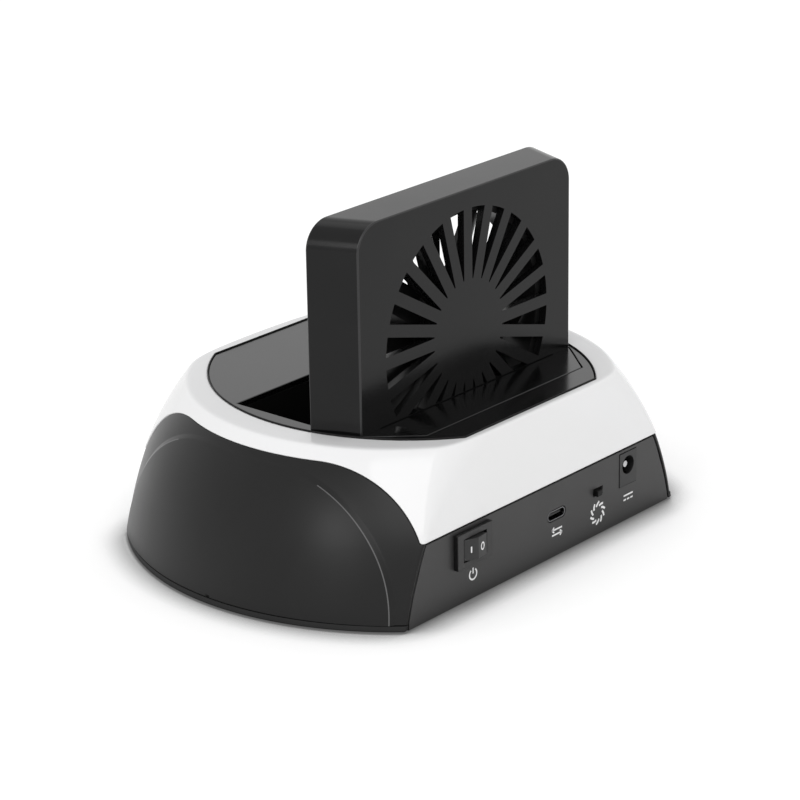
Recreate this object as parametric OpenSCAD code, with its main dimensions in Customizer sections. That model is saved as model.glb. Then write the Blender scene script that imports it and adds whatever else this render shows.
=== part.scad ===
// Hard drive docking station with a cooling fan tower.
// Millimetres, +Z up, +Y towards the rear panel, origin on the table under the middle of the base.

/* [Base] */
// Radius of the round dome that the base is cut from
dome_r = 89.5; // [87:0.5:94]
// Radius of the dome at the height of the deck
top_r = 69; // [68:0.1:70]
// How much larger the flared skirt's radius is than the dome's
skirt_grow = 1.7; // [1:0.1:2.5]
// How far the skirt's centre lies below the dome's
skirt_drop = 6.1; // [4:0.1:8]
// Place of the dome's centre, front to rear
dome_y = 1.8; // [0:0.1:3]
// Rear face of the rear panel
rear_y = 60.5; // [58:0.5:63]
// Depth of the base, front face to rear face
base_depth = 123; // [119:0.5:126]
// Height of the deck above the table
deck_z = 51.4; // [50.5:0.1:53]
// Wall of the moulded shells
wall = 2.4; // [1.8:0.1:3]
// Gap at a parting line between two moulded pieces
part_gap = 0.3; // [0.2:0.05:0.5]
// Height of the upright front and rear panels
panel_top = 26; // [25.5:0.1:27]
// Thickness of the front and rear panels
panel_t = 2.2; // [1.6:0.1:3]
// Width of the end cap's lip round a panel
panel_lip = 1.3; // [0.8:0.1:1.6]
// Groove between a panel and the pieces round it
panel_groove = 0.55; // [0.3:0.05:0.7]
// How far the white wall stands proud of the rear panel
wall_proud = 0.4; // [0.2:0.1:0.8]
// How far the white rear wall leans in over its height
wall_lean = 2.6; // [1.5:0.1:3.5]
// Rounded-over edge of the top shell
rim_drop = 2; // [1:0.1:3]
// Height of the visible edge of the bottom tray
tray_top = 2.5; // [2.2:0.1:3]
// Height of the tray's underside above the table
tray_lift = 0.6; // [0.4:0.1:1]
// Thickness of the tray's raised inner floor above its edge
tray_pad = 1.5; // [1:0.1:2]

/* [End caps] */
// Height of the level stretch of the seam over an end cap
seam_z = 47.5; // [46.6:0.1:48]
// How far the seam's falling end reaches from the front or rear face
seam_reach = 34.5; // [31:0.5:37]
// Radius of the seam's falling ends
seam_r = 37.8; // [36.5:0.1:39]
// How far an end cap's border lies inside the dome
cap_inset = 0.3; // [0.1:0.1:0.6]
// How far an end cap's middle panel lies outside the dome
leaf_rise = 0.3; // [0.1:0.1:0.6]
// Corner radius of the middle panel
leaf_r = 45; // [42:0.5:45.5]
// How far the middle panel's round end reaches from the front or rear face
leaf_reach = 48; // [47.5:0.5:51]

/* [Deck] */
// Thickness of the deck plate
deck_t = 2; // [1.6:0.1:2.4]
// Radius of the deck's rounded ends
deck_r = 67; // [65:0.5:68]
// Width of the deck beside the tower's rear corners
deck_side = 1.1; // [0.8:0.1:1.6]
// From the front or rear face to the deck's flat edge
deck_margin = 5.3; // [5:0.1:7]
// Width of the ledge that a plate rests on
ledge = 2.5; // [1.5:0.1:3]
// Groove round the deck and round the fan plate
groove = 0.3; // [0.2:0.05:0.5]

/* [Drive bay] */
// Width of the drive that goes in
drive_w = 101.6; // [100:0.1:102]
// Thickness of the drive that goes in
drive_t = 26.1; // [24:0.1:26.2]
// Clearance at each end of the drive
drive_side = 3.2; // [2:0.1:3.4]
// Clearance in front of and behind the drive
drive_play = 3.4; // [3:0.1:3.6]
// Wall of the drive well
well_wall = 1.4; // [1.2:0.1:1.6]
// Top of the drive well's floor
well_floor = 16; // [15.5:0.1:17]
// Place of the drive connector's middle along the slot
sata_x = 6; // [0:1:8]

/* [Fan tower] */
// Width of the fan tower's rear face
tower_w = 104; // [100:0.5:105]
// How much further each end of the tower reaches at its front face
tower_flare = 6.1; // [4:0.1:6.4]
// Thickness of the fan tower
tower_t = 15.6; // [15.4:0.1:16.6]
// Height of the tower's top above the table
tower_top = 117.6; // [116:0.1:119]
// Rear face of the fan tower
tower_y = 30.3; // [29.5:0.1:31]
// Corner radius at the tower's top
tower_corner = 8.8; // [6:0.1:10]
// Wall of the fan tower
tower_wall = 2.5; // [2.2:0.05:2.6]
// Width of the tower's rim round its front cover
cover_rim = 1.2; // [0.8:0.05:1.6]
// Depth of the fan plate behind the tower
plate_depth = 15; // [12:0.5:18]
// Width of the fan plate's rear edge
plate_rear_w = 78; // [70:1:84]
// Radius of the grille
grille_r = 40; // [38:0.2:40.5]
// Radius of the grille's plain middle
grille_hub = 17; // [15:0.5:19]
// Number of grille slots
grille_slots = 24; // [18:1:28]
// Width of the grille's spokes
spoke_w = 4; // [3:0.1:4.5]
// Number of spokes in the front cover's guard
guard_spokes = 12; // [8:1:16]

/* [Fan] */
// Side of the square fan frame
fan_size = 80; // [79:0.1:80.4]
// Depth of the fan frame
fan_depth = 10; // [9.6:0.1:10.2]
// From the tower's top down to the fan's axis
fan_fall = 46.3; // [45.8:0.1:46.8]
// Radius of the fan frame's bore
fan_bore = 38; // [37:0.1:38.4]
// Spacing of the fan's mounting holes
fan_pitch = 71.5; // [70.5:0.1:72]
// Radius of the rotor's hub
hub_r = 16.5; // [15.5:0.1:17]
// Radius of the blade tips
blade_r = 36.8; // [35:0.1:37]
// Number of blades
blades = 9; // [7:1:11]
// Turn of the first blade at rest
blade_turn = 7; // [0:1:40]
// Thickness of a blade
blade_t = 1; // [0.8:0.1:1.6]
// Radius of the rotor's shaft
shaft_r = 1.5; // [1.2:0.1:1.8]
// Running clearance of the shaft in its bearing
shaft_clear = 0.05; // [0.02:0.01:0.08]

/* [Sockets and switches] */
// Top face of the main board
board_z = 13; // [12.6:0.1:13.2]
// Thickness of the main board
board_t = 1.6; // [1.2:0.1:2]
// Place of the rocker switch along the panel
rocker_x = 36.8; // [35:0.1:40]
// Height of the rocker switch's middle
rocker_z = 18.6; // [17.5:0.1:19]
// Width of the rocker switch's flange
bezel_w = 17; // [16.5:0.1:18]
// Height of the rocker switch's flange
bezel_h = 11.6; // [11.4:0.1:12.4]
// How far the flange stands out of the panel
bezel_t = 1.8; // [1.4:0.1:2.2]
// Tilt of the rocker to each side
rocker_tilt = 9; // [6:0.5:10]
// Radius of the rocker's pivot pins
pivot_r = 0.9; // [0.7:0.05:1]
// Place of the data socket along the panel
usb_x = -6.2; // [-10:0.1:-4]
// Place of the fan switch along the panel
slide_x = -28; // [-30:0.1:-26]
// Travel of the fan switch
slide_travel = 2; // [1.5:0.1:2.5]
// Place of the power inlet along the panel
jack_x = -44; // [-45:0.1:-42]
// Radius of the power inlet's hole
jack_r = 3.1; // [2.8:0.05:3.2]
// Radius of the power inlet's pin
jack_pin_r = 1.05; // [0.9:0.05:1.2]

/* [Fastenings and feet] */
// Radius of a rubber foot
pad_r = 6; // [5:0.5:7]
// Radius of a screw's thread
screw_r = 1.2; // [1:0.05:1.4]
// Radius of a screw's head
screw_head_r = 2.4; // [2:0.1:2.8]
// Clearance round a screw
screw_clear = 0.1; // [0.05:0.05:0.2]
// Half spacing of the shell's screw posts, side to side
post_x = 59; // [57.5:0.1:60]
// Half spacing of the shell's screw posts, front to rear
post_y = 28; // [26:0.5:32]
// Radius of a shell post
post_r = 3.2; // [2.8:0.1:3.4]

/* [Hidden] */
$fn = 96;
front_y = rear_y - base_depth;
mid_y = (rear_y + front_y) / 2;
dome_drop = sqrt(pow(dome_r, 2) - pow(top_r, 2)) - deck_z;
skirt_r = dome_r + skirt_grow;
seam_half = base_depth / 2 - seam_reach;
leaf_half = base_depth / 2 - leaf_reach;
deck_half = base_depth / 2 - deck_margin;
deck_floor = deck_z - deck_t;
cap_bottom = tray_top + part_gap;
panel_bottom = tray_lift;
floor_z = tray_top + tray_pad;
span = 4 * dome_r;

// Drive bay, from the drive's own size
tower_front = tower_y - tower_t;
tower_slant = atan(tower_flare / tower_t);
slot_w = drive_w + 2 * drive_side;
well_rear = tower_front - part_gap - well_wall;
slot_front = well_rear - drive_t - 2 * drive_play;
well_w = slot_w + 2 * well_wall;
// The deck is wide enough for both the tower's rear corners and the drive slot's front corners
deck_at_tower = sqrt(pow(deck_r, 2) - pow(tower_y - dome_y, 2)) - tower_w / 2 - deck_side;
deck_at_slot = sqrt(pow(deck_r, 2) - pow(slot_front - dome_y, 2)) - slot_w / 2 - deck_side;
deck_cx = min(deck_at_tower, deck_at_slot);

// Fan tower
inner_rear = tower_y - tower_wall;
inner_front = tower_front + tower_wall;
fan_z = tower_top - fan_fall;
fan_mid = (inner_rear + inner_front) / 2;
fan_rear = fan_mid + fan_depth / 2;
fan_front = fan_mid - fan_depth / 2;
plate_front_w = tower_w;
cover_clear = 0.1;
foot_wall = tower_wall + part_gap;
foot_w = fan_size + 2 * foot_wall;
foot_z = fan_z - fan_size / 2 - foot_wall;

// Fan motor, along the fan's axis from the frame's rear face
flange_t = 2;
strut_w = 4;
frame_hole = 2.15;
tube_r = shaft_r + shaft_clear + 2;
motor_len = 7.5;
shaft_fit = 0.01;
rotor_gap = 0.5;
cup_t = 1;
magnet_t = 2;
magnet_gap = 0.5;
stator_r = hub_r - cup_t - magnet_t - magnet_gap;
hub_front = fan_front + rotor_gap;
hub_rear = fan_rear - flange_t - rotor_gap;
blade_arc = 40;
blade_pitch = 28;
blade_inset = 0.4;
screw_tip = 1.9;
seat_clear = 0.05;
stack_h = 3;
stack_gap = 0.4;
circuit_t = 1;
seat_depth = 1.5;
tooth_w = 3;
tooth_tip = 1.5;
stack_ring = 2.5;
stack_r = tube_r + stack_ring;
wire_t = 0.6;
wire_gap = 0.2;
motor_y = fan_rear - flange_t - motor_len + seat_depth;
stack_y = hub_front + cup_t + stack_gap + wire_t;
flat_h = 1.6;
flat_lip = 0.6;

// Board and what stands on it
board_bottom = board_z - board_t;
board_side = 8;
board_setback = 6;
board_hole_in = 24;
board_x0 = jack_x - board_side;
board_x1 = 31;
board_y0 = front_y + panel_t + board_setback;
board_y1 = rear_y - panel_t - 0.6;
board_post_r = 3.4;
board_inset = 5;
sata_w = 42;
sata_t = 6;
sata_h = 9;
chip_w = 9;
chip_h = 1.2;
chip_x = -20;
can_r = 3.15;
can_h = 7.2;
can_x = -38;
can_pitch = 8;
choke_w = 7;
choke_h = 4;
choke_x = 2;
parts_y = tower_y + part_gap + can_r;
sata_in = 8;
sata_y = slot_front + sata_in;
sata_clear = 0.5;
sata_slot = 2.7;
sata_end = 1.5;
sata_slot_y = sata_y + 0.6;
sata_slot_rise = 3;
sata_slot_z = board_z + sata_slot_rise;
contact_pitch = 1.27;
contact_w = 0.6;
contact_t = 0.4;
usb_w = 8.94;
usb_h = 3.26;
usb_len = 7.4;
usb_wall = 0.32;
usb_back = 0.6;
tongue_w = 6.7;
tongue_t = 0.7;
usb_z = board_z + usb_h / 2;
jack_w = 9;
jack_h = 11.4;
jack_len = 14;
jack_rise = 6.8;
jack_z = board_z + jack_rise;
jack_face = rear_y + 0.2;
jack_depth = 9.5;
jack_tail = 3;
pin_setback = 1.2;
spring_w = 1.8;
spring_t = 0.4;
spring_clear = 0.1;
spring_z = jack_z - jack_r - spring_t - spring_clear;
nub_w = 2.4;
nub_h = 2;
nub_out = 1.6;
nub_gap = 0.3;
foot_len = nub_w + 2.4;
foot_h = nub_h + 1.2;
foot_t = 2;
slide_lid = 0.8;
slide_w = foot_len + slide_travel + 2 * nub_gap + 1.2;
slide_h = foot_h + 2 * nub_gap + 1.2;
slide_len = foot_t + 2 * nub_gap + 2 * slide_lid;
slide_front = rear_y - panel_t - part_gap;
slide_z = board_z + slide_h / 2;

// Rocker switch
rocker_inset = 3.85;
rocker_rim = 2.3;
rocker_w = bezel_w - 2 * rocker_inset;
rocker_h = bezel_h - 2 * rocker_rim;
rocker_gap = 0.8;
switch_side = 0.8;
switch_w = rocker_w + 2 * rocker_gap + 2 * switch_side;
switch_h = rocker_h + 2 * part_gap + 2 * switch_side;
switch_len = 13;
pivot_y = rear_y - pivot_r - 0.3;
pivot_clear = 0.05;
crown = 4.8;
shoulder = 3.4;
keel = 4.6;
keel_half = 1.5;
haunch = 2.4;
terminal_pitch = 4.6;
terminal_t = 0.8;
terminal_len = 6;
terminal_h = 4;

// Indicator on the front panel
lamp_x = 0;
lamp_r = 1.5;
lamp_w = 3.2;
lamp_h = 4;
lamp_len = 3;
lamp_z = board_z + lamp_h / 2 + 0.4;

// Feet and air slots
pad_h = tray_lift + 0.8;
pad_x = 52;
pad_y = 44;
vent_w = 2.5;
vent_len = 16;
vent_pitch = 7;
vent_y = 20;
bay_vent_w = 4;
bay_vent_len = 14;
bay_vents = [-40, -32, -24, 36, 44];
screw_bite = 8;

// Extrudes an outline drawn in X and Z from y0 to y1
module extrude_y(y0, y1) {
    translate([0, y1, 0]) rotate([90, 0, 0]) linear_extrude(y1 - y0) children();
}

// Extrudes an outline drawn in Y and Z right through the base, side to side
module extrude_x() {
    rotate([90, 0, 90]) linear_extrude(span, center = true) children();
}

// Turns a shape made about Z so that its Z points along +Y, on the fan's axis at y
module on_fan_axis(y) {
    translate([0, y, fan_z]) rotate([-90, 0, 0]) children();
}

module ring(r_out, r_in, h) {
    difference() {
        cylinder(r = r_out, h = h);
        translate([0, 0, -1]) cylinder(r = r_in, h = h + 2);
    }
}

// The round dome that the base is cut from, with its flared skirt, grown by d
module dome(d = 0) {
    translate([0, dome_y, -dome_drop]) sphere(r = dome_r + d, $fn = 128);
    translate([0, dome_y, -dome_drop - skirt_drop]) sphere(r = skirt_r + d, $fn = 128);
}

// The dome and skirt seen along Y where a plane at y cuts them, shrunk by d
module dome_slice(y, d = 0) {
    translate([0, -dome_drop])
        circle(r = sqrt(pow(dome_r, 2) - pow(y - dome_y, 2)) - d, $fn = 128);
    translate([0, -dome_drop - skirt_drop])
        circle(r = sqrt(pow(skirt_r, 2) - pow(y - dome_y, 2)) - d, $fn = 128);
}

// Outline of the base seen from the side, shrunk by d on its front, rear and top
module side_outline(d = 0, top = deck_z) {
    lean_top = rear_y + wall_proud - wall_lean - d;
    polygon([
        [front_y + d, -1], [rear_y + wall_proud - d, -1], [rear_y + wall_proud - d, panel_top],
        [lean_top, deck_z - rim_drop - d], [lean_top - rim_drop, top],
        [front_y + rim_drop / 2 + d, top], [front_y + d, top - rim_drop / 2]
    ]);
}

// Everything below the seam seen from the side, lowered by d
module below_seam(d = 0) {
    translate([mid_y - seam_half, -1]) square([2 * seam_half, seam_z - d + 1]);
    for (s = [-1, 1]) {
        translate([mid_y + s * seam_half, seam_z - seam_r]) circle(r = seam_r - d);
    }
    translate([-span / 2, -1]) square([span, panel_top + part_gap - d + 1]);
}

// Outline of an end cap's middle panel seen from the side
module leaf_outline() {
    translate([mid_y - leaf_half, -leaf_r]) square([2 * leaf_half, 2 * leaf_r]);
    for (s = [-1, 1]) {
        translate([mid_y + s * leaf_half, 0]) circle(r = leaf_r);
    }
}

// Outline of the deck from above, grown by d
module deck_outline(d = 0) {
    intersection() {
        translate([-deck_cx, dome_y]) circle(r = deck_r + d, $fn = 160);
        translate([deck_cx, dome_y]) circle(r = deck_r + d, $fn = 160);
        translate([-span / 2, mid_y - deck_half - d]) square([span, 2 * deck_half + 2 * d]);
    }
}

// Outline of the fan plate from above, shrunk by d
module plate_outline(d = 0) {
    half = plate_front_w / 2 - d;
    rear_half = plate_rear_w / 2 - d;
    polygon([
        [-half, tower_front], [half, tower_front], [half, tower_y],
        [rear_half, tower_y + plate_depth - d], [-rear_half, tower_y + plate_depth - d],
        [-half, tower_y]
    ]);
}

// Outline of a flat panel that closes the base's front or rear, seen along Y
module panel_outline(y) {
    intersection() {
        dome_slice(y, panel_lip + panel_groove);
        translate([-span / 2, panel_bottom]) square([span, panel_top - panel_groove - panel_bottom]);
    }
}

// Room for both panels in the pieces round them
module panel_recess() {
    extrude_y(rear_y - panel_t - part_gap, rear_y + 1) dome_slice(rear_y, panel_lip);
    extrude_y(front_y - 1, front_y + panel_t + part_gap) dome_slice(front_y, panel_lip);
}

// Places one copy at each corner of a rectangle
module corners(x, y) {
    for (sx = [-1, 1], sy = [-1, 1]) translate([sx * x, mid_y + sy * y, 0]) children();
}

module board_corners() {
    for (x = [board_x0 + board_inset, board_x1 - board_inset]) {
        for (y = [board_y0 + board_inset, board_y1 - board_hole_in]) translate([x, y, 0]) children();
    }
}

module bottom_tray() {
    color("#1c1c1d") difference() {
        union() {
            intersection() {
                dome();
                translate([-span / 2, front_y, tray_lift]) cube([span, base_depth, tray_top - tray_lift]);
            }
            intersection() {
                dome(-wall - cap_inset - part_gap);
                translate([-span / 2, front_y + panel_t + part_gap, tray_lift])
                    cube([span, base_depth - 2 * panel_t - 2 * part_gap, floor_z - tray_lift]);
            }
            board_corners() translate([0, 0, tray_lift])
                cylinder(r = board_post_r, h = board_bottom - tray_lift);
        }
        board_corners() translate([0, 0, floor_z]) cylinder(r = screw_r + screw_clear, h = board_z, $fn = 32);
        corners(post_x, post_y) {
            cylinder(r = screw_r + screw_clear, h = board_z, $fn = 32);
            cylinder(r = screw_head_r + screw_clear, h = tray_top, $fn = 32);
        }
        corners(pad_x, pad_y) cylinder(r = pad_r + screw_clear, h = pad_h);
        panel_recess();
        // Two rows of air slots under the board
        for (row = [-1, 1], k = [-4 : 4]) {
            translate([k * vent_pitch, mid_y + row * vent_y, 0])
                cube([vent_w, vent_len, 3 * floor_z], center = true);
        }
    }
}

module rubber_feet() {
    color("#202020") corners(pad_x, pad_y) cylinder(r = pad_r, h = pad_h);
}

module end_cap() {
    difference() {
        intersection() {
            union() {
                dome(-cap_inset);
                intersection() {
                    dome(leaf_rise);
                    extrude_x() leaf_outline();
                }
            }
            extrude_x() below_seam(part_gap);
            translate([0, front_y, cap_bottom]) cube([span, base_depth, span]);
        }
        dome(-cap_inset - wall);
        panel_recess();
    }
}

module right_end_cap() {
    color("#2a2a2b") end_cap();
}

module left_end_cap() {
    color("#2a2a2b") mirror([1, 0, 0]) end_cap();
}

module top_shell() {
    color("#e9e9e9") difference() {
        union() {
            difference() {
                intersection() {
                    dome();
                    extrude_x() difference() {
                        side_outline();
                        below_seam();
                    }
                }
                intersection() {
                    dome(-wall);
                    extrude_x() side_outline(wall, seam_z);
                }
            }
            corners(post_x, post_y) translate([0, 0, floor_z])
                cylinder(r = post_r, h = seam_z - floor_z + 0.5);
        }
        translate([0, 0, deck_floor]) linear_extrude(span) deck_outline(groove);
        translate([0, 0, seam_z - 1]) linear_extrude(span) deck_outline(-ledge);
        translate([-well_w / 2 - part_gap, slot_front - well_wall - part_gap, 0])
            cube([well_w + 2 * part_gap, tower_front - slot_front, deck_floor]);
        corners(post_x, post_y) cylinder(r = screw_r + screw_clear, h = floor_z + 2 * screw_bite, $fn = 32);
    }
}

module rear_panel() {
    color("#454545") difference() {
        extrude_y(rear_y - panel_t, rear_y) panel_outline(rear_y);
        translate([rocker_x, rear_y, rocker_z])
            cube([switch_w + part_gap, 4 * panel_t, switch_h + part_gap], center = true);
        extrude_y(rear_y - panel_t - 1, rear_y + 1) translate([usb_x, usb_z])
            stadium(usb_w + 2 * part_gap, usb_h + 2 * part_gap);
        translate([slide_x, rear_y, slide_z])
            cube([nub_w + slide_travel + 2 * nub_gap, 4 * panel_t, nub_h + 2 * nub_gap], center = true);
        translate([jack_x, rear_y, board_z + jack_h / 2])
            cube([jack_w + part_gap, 4 * panel_t, jack_h + part_gap], center = true);
    }
}

module front_panel() {
    color("#454545") difference() {
        extrude_y(front_y, front_y + panel_t) panel_outline(front_y);
        translate([lamp_x, front_y - 1, lamp_z]) rotate([-90, 0, 0])
            cylinder(r = lamp_r + screw_clear, h = panel_t + 2, $fn = 32);
    }
}

module deck() {
    color("#151515") difference() {
        union() {
            translate([0, 0, deck_floor]) linear_extrude(deck_t) deck_outline();
            // Ledge under the fan plate
            translate([0, 0, deck_floor - deck_t]) linear_extrude(deck_t) intersection() {
                plate_outline(-ledge);
                deck_outline(-ledge - 1);
            }
        }
        translate([0, 0, deck_floor]) linear_extrude(span) plate_outline(-groove);
        translate([-span / 2, slot_front - well_wall - 3 * deck_t, deck_floor - span])
            cube([span, tower_front - slot_front + well_wall + 3 * deck_t, span]);
        translate([0, 0, deck_floor - 2 * deck_t]) linear_extrude(span) plate_outline(ledge);
        translate([-slot_w / 2, slot_front, 0]) cube([slot_w, tower_front - slot_front + 1, span]);
    }
}

module drive_well() {
    color("#121212") difference() {
        translate([-well_w / 2, slot_front - well_wall, well_floor - well_wall])
            cube([well_w, well_rear - slot_front + 2 * well_wall, deck_floor - well_floor + well_wall]);
        translate([-slot_w / 2, slot_front, well_floor])
            cube([slot_w, well_rear - slot_front, span]);
        translate([sata_x, sata_y, well_floor])
            cube([sata_w + 2 * sata_clear, sata_t + 2 * sata_clear, 4 * well_wall], center = true);
        // Air slots in the floor
        for (x = bay_vents) {
            translate([x, (slot_front + well_rear) / 2, well_floor])
                cube([bay_vent_w, bay_vent_len, 4 * well_wall], center = true);
        }
    }
}

module fan_plate() {
    color("#171717") difference() {
        translate([0, 0, deck_floor]) linear_extrude(deck_t) plate_outline(0);
        translate([-foot_w / 2 - part_gap, tower_front - 1, 0])
            cube([foot_w + 2 * part_gap, tower_t + 1 + part_gap, span]);
    }
}

// Everything inside one end of the fan tower, shrunk by d: a block with a round upper edge, whose
// end face slants from the corner of the rear face to the wider front face
module tower_end(d) {
    r = tower_corner - d;
    top = tower_top - d;
    translate([tower_w / 2, tower_y, 0]) rotate([0, 0, tower_slant]) extrude_y(-2 * tower_t, tower_w) {
        translate([-2 * tower_w, 0]) square([2 * tower_w - d, top - r]);
        translate([-2 * tower_w, 0]) square([2 * tower_w - d - r, top]);
        translate([-d - r, top - r]) circle(r = r);
    }
}

// The fan tower and its foot below the deck, from y0 to y1 and shrunk by d
module tower_block(y0, y1, d = 0) {
    intersection() {
        tower_end(d);
        mirror([1, 0, 0]) tower_end(d);
        translate([-tower_w, y0, deck_z + d]) cube([2 * tower_w, y1 - y0, span]);
    }
    translate([-foot_w / 2 + d, y0, foot_z + d]) cube([foot_w - 2 * d, y1 - y0, deck_z - foot_z + 1]);
}

// A grille's slots: a ring cut by a number of straight spokes, stopped above the deck
module grille_outline(spokes) {
    intersection() {
        translate([0, fan_z]) difference() {
            circle(r = grille_r);
            circle(r = grille_hub);
            for (k = [0 : spokes - 1]) {
                rotate(k * 360 / spokes) translate([0, -spoke_w / 2]) square([2 * grille_r, spoke_w]);
            }
        }
        translate([-tower_w, deck_z + part_gap]) square([2 * tower_w, tower_top]);
    }
}

module tower_housing() {
    color("#2b2b2b") difference() {
        tower_block(tower_front, tower_y);
        tower_block(tower_front - 1, inner_rear, tower_wall);
        tower_block(tower_front - 1, inner_front, cover_rim);
        extrude_y(inner_rear - 1, tower_y + 1) grille_outline(grille_slots);
        extrude_y(inner_rear - 1, inner_rear + screw_tip + part_gap) fan_holes()
            circle(r = screw_r + screw_clear, $fn = 32);
    }
}

// The cover lies inside the housing's rim, on the side of the drive
module tower_front_cover() {
    color("#2b2b2b") difference() {
        tower_block(tower_front, inner_front, cover_rim + cover_clear);
        extrude_y(tower_front - 1, inner_front + 1) grille_outline(guard_spokes);
    }
}

// Places one copy on each of the fan's mounting holes, seen along Y
module fan_holes() {
    for (sx = [-1, 1], sz = [-1, 1]) translate([sx * fan_pitch / 2, fan_z + sz * fan_pitch / 2]) children();
}

// The fan frame's square with its round bore, seen along Y
module frame_outline() {
    translate([0, fan_z]) difference() {
        square(fan_size, center = true);
        circle(r = fan_bore, $fn = 128);
    }
}

module fan_frame() {
    corner = 9;
    color("#191919") union() {
        // Front flange
        extrude_y(fan_front, fan_front + flange_t) difference() {
            frame_outline();
            fan_holes() circle(r = frame_hole, $fn = 32);
        }
        // Tube between the flanges, with open corners
        extrude_y(fan_front + flange_t, fan_rear - flange_t) difference() {
            frame_outline();
            for (sx = [-1, 1], sz = [-1, 1]) {
                translate([sx * fan_size / 2, fan_z + sz * fan_size / 2]) square(2 * corner, center = true);
            }
        }
        // Rear flange, with the motor's seat on four struts
        extrude_y(fan_rear - flange_t, fan_rear) difference() {
            union() {
                frame_outline();
                translate([0, fan_z]) {
                    circle(r = hub_r);
                    for (k = [0 : 3]) rotate(45 + 90 * k) translate([0, -strut_w / 2])
                        square([fan_bore + 2, strut_w]);
                }
            }
            fan_holes() circle(r = frame_hole, $fn = 32);
            translate([0, fan_z]) circle(r = tube_r + seat_clear);
        }
    }
}

module fan_bearing() {
    color("#b08d57") on_fan_axis(motor_y) ring(tube_r, shaft_r + shaft_clear, motor_len);
}

module fan_stator() {
    color("#8c8c90") on_fan_axis(stack_y) difference() {
        union() {
            cylinder(r = stack_r, h = stack_h);
            for (k = [0 : 3]) rotate(90 * k) {
                translate([0, -tooth_w / 2, 0]) cube([stator_r - tooth_tip / 2, tooth_w, stack_h]);
                intersection() {
                    ring(stator_r, stator_r - tooth_tip, stack_h);
                    translate([0, -stator_r / 2, 0]) cube([2 * stator_r, stator_r, stack_h]);
                }
            }
        }
        translate([0, 0, -1]) cylinder(r = tube_r + seat_clear, h = motor_len);
    }
}

// Four windings, each wrapped round one tooth of the stator
module fan_coils() {
    coil_x0 = stack_r + wire_gap;
    coil_x1 = stator_r - tooth_tip - wire_gap;
    color("#b5651d") on_fan_axis(stack_y + stack_h / 2) for (k = [0 : 3]) rotate(90 * k) {
        translate([(coil_x0 + coil_x1) / 2, 0, 0]) difference() {
            cube([coil_x1 - coil_x0, tooth_w + 2 * wire_t, stack_h + 2 * wire_t], center = true);
            cube([span, tooth_w, stack_h], center = true);
        }
    }
}

module fan_circuit() {
    color("#1f5c36") on_fan_axis(fan_rear - flange_t - circuit_t)
        ring(stator_r, tube_r + seat_clear, circuit_t);
}

// One blade: a strip of an arc, drawn across the blade and drawn out along its length
module blade() {
    blade_h = hub_rear - hub_front - 2 * blade_inset;
    intersection() {
        ring(blade_r, hub_r - cup_t / 2, blade_h);
        translate([0, 0, blade_h / 2]) rotate([90, 0, 90]) translate([0, 0, hub_r / 2])
            linear_extrude(blade_r) rotate(blade_pitch) translate([0, -blade_arc]) intersection() {
                difference() {
                    circle(r = blade_arc + blade_t / 2);
                    circle(r = blade_arc - blade_t / 2);
                }
                translate([-blade_arc / 2, 0]) square([blade_arc, 2 * blade_arc]);
            }
    }
}

module fan_rotor() {
    color("#202021") union() {
        on_fan_axis(hub_front) difference() {
            cylinder(r = hub_r, h = hub_rear - hub_front);
            translate([0, 0, cup_t]) cylinder(r = hub_r - cup_t, h = fan_depth);
            translate([0, 0, -1]) cylinder(r = shaft_r + shaft_fit, h = fan_depth);
        }
        on_fan_axis(hub_front + blade_inset) for (k = [0 : blades - 1]) {
            rotate(blade_turn + k * 360 / blades) blade();
        }
    }
}

module fan_magnet() {
    color("#3a3a3c") on_fan_axis(hub_front + cup_t)
        ring(hub_r - cup_t - seat_clear, hub_r - cup_t - magnet_t, hub_rear - hub_front - 2 * cup_t);
}

module fan_shaft() {
    color("#c8c8c8") on_fan_axis(hub_front) cylinder(r = shaft_r, h = fan_rear - hub_front - 0.5);
}

module fan_screws() {
    color("#9a9a9a") {
        extrude_y(fan_rear - flange_t - flat_h, fan_rear + screw_tip) fan_holes()
            circle(r = screw_r, $fn = 32);
        extrude_y(fan_rear - flange_t - flat_h, fan_rear - flange_t) fan_holes()
            circle(r = frame_hole + flat_lip, $fn = 32);
    }
}

module main_board() {
    color("#1f5c36") difference() {
        translate([board_x0, board_y0, board_bottom])
            cube([board_x1 - board_x0, board_y1 - board_y0, board_t]);
        board_corners() cylinder(r = screw_r + screw_clear, h = span, $fn = 32);
    }
}

module board_parts() {
    // Bridge chip, two capacitors and a choke
    color("#222222") {
        translate([chip_x, parts_y, board_z]) cube([chip_w, chip_w, chip_h]);
        for (k = [0, 1]) translate([can_x + can_pitch * k, parts_y, board_z]) cylinder(r = can_r, h = can_h);
        translate([choke_x, parts_y, board_z]) cube([choke_w, choke_w, choke_h]);
    }
}

module sata_connector() {
    color("#101010") difference() {
        translate([sata_x - sata_w / 2, sata_y - sata_t / 2, board_z]) cube([sata_w, sata_t, sata_h]);
        translate([sata_x - sata_w / 2 + sata_end, sata_slot_y - sata_slot / 2, sata_slot_z])
            cube([sata_w - 2 * sata_end, sata_slot, sata_h]);
    }
}

// Seven data contacts and fifteen power contacts, one place apart
module sata_contacts() {
    color("#caa24a") for (k = [-11 : 11]) if (k != -4) {
        translate([sata_x + k * contact_pitch - contact_w / 2, sata_slot_y - sata_slot / 2, sata_slot_z])
            cube([contact_w, contact_t, board_z + sata_h - sata_slot_z - contact_w]);
    }
}

// A rounded bar seen along Y, as wide as w and as high as h
module stadium(w, h) {
    square([w - h, h], center = true);
    for (s = [-1, 1]) translate([s * (w - h) / 2, 0]) circle(d = h);
}

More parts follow.
